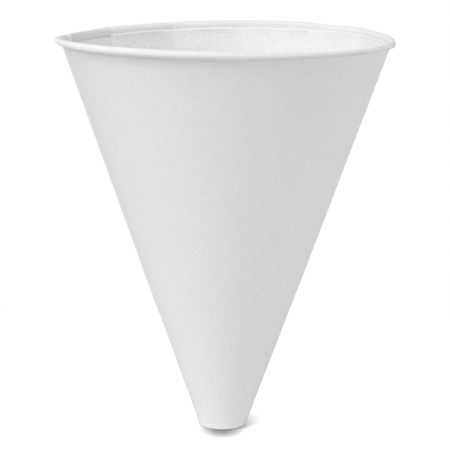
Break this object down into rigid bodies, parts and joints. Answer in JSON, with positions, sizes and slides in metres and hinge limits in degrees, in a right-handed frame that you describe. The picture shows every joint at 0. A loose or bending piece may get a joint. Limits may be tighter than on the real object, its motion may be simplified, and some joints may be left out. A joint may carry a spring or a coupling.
{
  "type": "paper cone cup",
  "caption": "Cone-shaped paper cup wrapped from one sheet, with a lapped side seam, a rolled rim and a small flat foot folded at the tip so that it stands by itself.",
  "frame": {"origin": "below the middle of the mouth's overall width and depth, on the surface that the cup stands on; the foot's middle is 1.3 mm away at x 0.82, y -1.02 mm", "axes": "+Z along the cup's axis, up to the mouth; +X to the right and -Y towards the viewer of the picture"},
  "size_m": [0.1006, 0.0968, 0.1175],
  "materials": {
    "paper": "matt white uncoated paper with fine fibre grain"
  },
  "bodies": {
    "root": {"cone_cup": "paper"}
  },
  "joints": []
}
